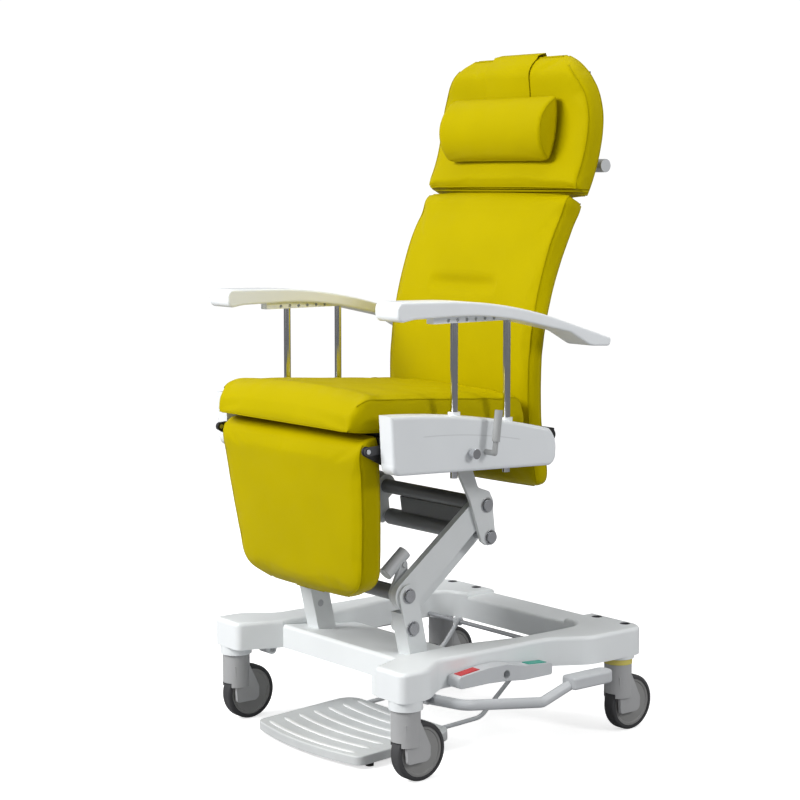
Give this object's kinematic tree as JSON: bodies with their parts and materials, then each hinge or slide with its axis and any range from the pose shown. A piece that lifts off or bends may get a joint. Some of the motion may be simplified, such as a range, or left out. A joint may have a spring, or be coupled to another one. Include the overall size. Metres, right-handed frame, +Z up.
{
  "type": "patient care chair",
  "caption": "Wheeled patient care chair with a parallelogram lift, reclining back, tilting headrest, hinged leg rest, height-adjustable arms, foot pedals and a fold-up step.",
  "frame": {"origin": "on the floor under the middle of the chair, midway between the castors", "axes": "+Z up; the sitter faces -Y; the sitter's left is +X"},
  "size_m": [0.78, 0.805, 1.522],
  "materials": {
    "white_frame": "powder-coated white",
    "shell": "satin moulded plastic",
    "vinyl": "yellow upholstery vinyl, satin",
    "steel": "zinc-plated",
    "chrome": "polished",
    "lever_grey": "satin grey",
    "sleeve_grey": "matte grey",
    "wheel": "grey disc with a black rubber tyre",
    "ring_yellow": "pale yellow plastic",
    "board": "black laminated board",
    "dark_frame": "dark powder coat",
    "handle_grey": "light grey coat",
    "pedal_grey": "matte grey",
    "pedal_red": "red insert",
    "pedal_green": "green insert",
    "step_grey": "ribbed light grey plastic",
    "tube_grey": "dark grey coat",
    "foot_rubber": "rubber foot"
  },
  "bodies": {
    "base": {"side_rail_left": "white_frame", "side_rail_right": "white_frame", "base_platform": "white_frame", "rear_beam": "white_frame", "lift_bracket_left": "white_frame", "lift_bracket_right": "white_frame", "lower_pivot_pins": "steel", "step_shaft": "steel", "socket_sleeves": "sleeve_grey", "direction_ring": "ring_yellow"},
    "lift_arm": {"lift_lever_left": "white_frame", "lift_lever_right": "white_frame", "lever_tubes": "tube_grey", "lift_crank": "handle_grey"},
    "control_link": {"control_link": "white_frame"},
    "seat_carriage": {"upper_bracket_left": "white_frame", "upper_bracket_right": "white_frame", "upper_pivot_pins": "steel", "cross_beam": "tube_grey", "seat_frame": "dark_frame", "seat_board": "board", "seat_cushion": "vinyl", "side_panel_left": "shell", "side_panel_right": "shell", "post_collars": "sleeve_grey"},
    "backrest": {"back_board": "board", "back_cushion": "vinyl", "push_handle": "handle_grey"},
    "headrest": {"head_board": "board", "head_cushion": "vinyl", "pillow_strap": "vinyl"},
    "neck_pillow": {"neck_pillow": "vinyl"},
    "legrest": {"leg_board": "board", "leg_cushion": "vinyl"},
    "arm_left": {"armrest_left": "shell", "arm_posts_left": "chrome"},
    "arm_right": {"armrest_right": "shell", "arm_posts_right": "chrome"},
    "latch_knob_left": {"latch_knob_left": "chrome"},
    "latch_knob_right": {"latch_knob_right": "chrome"},
    "recline_lever": {"recline_lever": "lever_grey"},
    "brake_pedals": {"brake_pedal_left": "pedal_grey", "brake_pedal_right": "pedal_grey", "pedal_shaft": "steel", "brake_marks": "pedal_red", "release_marks": "pedal_green"},
    "pump_bar_left": {"pump_bar_left": "handle_grey"},
    "pump_bar_right": {"pump_bar_right": "handle_grey"},
    "step": {"step_plate": "step_grey", "step_rods": "dark_frame", "step_feet": "foot_rubber"},
    "fork_front_left": {"castor_fork_front_left": "sleeve_grey"},
    "wheel_front_left": {"castor_wheel_front_left": "wheel"},
    "fork_front_right": {"castor_fork_front_right": "sleeve_grey"},
    "wheel_front_right": {"castor_wheel_front_right": "wheel"},
    "fork_rear_left": {"castor_fork_rear_left": "sleeve_grey"},
    "wheel_rear_left": {"castor_wheel_rear_left": "wheel"},
    "fork_rear_right": {"castor_fork_rear_right": "sleeve_grey"},
    "wheel_rear_right": {"castor_wheel_rear_right": "wheel"}
  },
  "joints": [
    {"name": "castor_swivel_front_left", "type": "hinge", "parent": "base", "child": "fork_front_left", "pos_m": [0.309, -0.308, 0.157], "axis": [0, 0, 1], "continuous": true},
    {"name": "wheel_spin_front_left", "type": "hinge", "parent": "fork_front_left", "child": "wheel_front_left", "pos_m": [0.309, -0.276, 0.0625], "axis": [1, 0, 0], "continuous": true},
    {"name": "castor_swivel_front_right", "type": "hinge", "parent": "base", "child": "fork_front_right", "pos_m": [-0.309, -0.308, 0.157], "axis": [0, 0, 1], "continuous": true},
    {"name": "wheel_spin_front_right", "type": "hinge", "parent": "fork_front_right", "child": "wheel_front_right", "pos_m": [-0.309, -0.276, 0.0625], "axis": [1, 0, 0], "continuous": true},
    {"name": "castor_swivel_rear_left", "type": "hinge", "parent": "base", "child": "fork_rear_left", "pos_m": [0.309, 0.308, 0.157], "axis": [0, 0, 1], "continuous": true},
    {"name": "wheel_spin_rear_left", "type": "hinge", "parent": "fork_rear_left", "child": "wheel_rear_left", "pos_m": [0.309, 0.34, 0.0625], "axis": [1, 0, 0], "continuous": true},
    {"name": "castor_swivel_rear_right", "type": "hinge", "parent": "base", "child": "fork_rear_right", "pos_m": [-0.309, 0.308, 0.157], "axis": [0, 0, 1], "continuous": true},
    {"name": "wheel_spin_rear_right", "type": "hinge", "parent": "fork_rear_right", "child": "wheel_rear_right", "pos_m": [-0.309, 0.34, 0.0625], "axis": [1, 0, 0], "continuous": true},
    {"name": "lift_height", "type": "hinge", "parent": "base", "child": "lift_arm", "pos_m": [0, -0.199, 0.356], "axis": [1, 0, 0], "range_deg": [-20, 22]},
    {"name": "seat_level", "type": "hinge", "parent": "lift_arm", "child": "seat_carriage", "pos_m": [0, 0.01796, 0.52982], "axis": [1, 0, 0], "range_deg": [-22.5, 20.5]},
    {"name": "link_swing", "type": "hinge", "parent": "base", "child": "control_link", "pos_m": [0, -0.18796, 0.28384], "axis": [1, 0, 0], "range_deg": [-20.5, 22.5]},
    {"name": "back_recline", "type": "hinge", "parent": "seat_carriage", "child": "backrest", "pos_m": [0, 0.11798, 0.66], "axis": [-1, 0, 0], "range_deg": [0, 45]},
    {"name": "head_tilt", "type": "hinge", "parent": "backrest", "child": "headrest", "pos_m": [0, 0.27866, 1.194], "axis": [1, 0, 0], "range_deg": [-15, 0]},
    {"name": "pillow_height", "type": "slide", "parent": "headrest", "child": "neck_pillow", "axis": [0, 0.1539, 0.9881], "range_m": [-0.02, 0.015]},
    {"name": "leg_raise", "type": "hinge", "parent": "seat_carriage", "child": "legrest", "pos_m": [0, -0.374, 0.69], "axis": [-1, 0, 0], "range_deg": [0, 80]},
    {"name": "arm_height_left", "type": "slide", "parent": "seat_carriage", "child": "arm_left", "axis": [0, 0, 1], "range_m": [-0.16, 0]},
    {"name": "arm_height_right", "type": "slide", "parent": "seat_carriage", "child": "arm_right", "axis": [0, 0, 1], "range_m": [-0.16, 0]},
    {"name": "latch_pull_left", "type": "slide", "parent": "seat_carriage", "child": "latch_knob_left", "axis": [1, 0, 0], "range_m": [0, 0.008], "stiffness_N_per_m": 900},
    {"name": "latch_pull_right", "type": "slide", "parent": "seat_carriage", "child": "latch_knob_right", "axis": [-1, 0, 0], "range_m": [0, 0.008], "stiffness_N_per_m": 900},
    {"name": "recline_release", "type": "hinge", "parent": "seat_carriage", "child": "recline_lever", "pos_m": [0.318, -0.1, 0.672], "axis": [1, 0, 0], "range_deg": [0, 30], "stiffness_Nm_per_rad": 1.2},
    {"name": "brake_rock", "type": "hinge", "parent": "base", "child": "brake_pedals", "pos_m": [0, -0.052, 0.192], "axis": [1, 0, 0], "range_deg": [-10, 10]},
    {"name": "pump_press_left", "type": "hinge", "parent": "base", "child": "pump_bar_left", "pos_m": [0.285, -0.24, 0.163], "axis": [-1, 0, 0], "range_deg": [0, 8], "stiffness_Nm_per_rad": 45},
    {"name": "pump_press_right", "type": "hinge", "parent": "base", "child": "pump_bar_right", "pos_m": [-0.285, -0.24, 0.163], "axis": [-1, 0, 0], "range_deg": [0, 8], "stiffness_Nm_per_rad": 45},
    {"name": "step_lift", "type": "hinge", "parent": "base", "child": "step", "pos_m": [0, 0.215, 0.186], "axis": [-1, 0, 0], "range_deg": [0, 10]}
  ],
  "couplings": [
    {"joint": "seat_level", "follows": "lift_height", "ratio": -1},
    {"joint": "link_swing", "follows": "lift_height", "ratio": 1},
    {"joint": "pump_press_right", "follows": "pump_press_left", "ratio": 1}
  ]
}
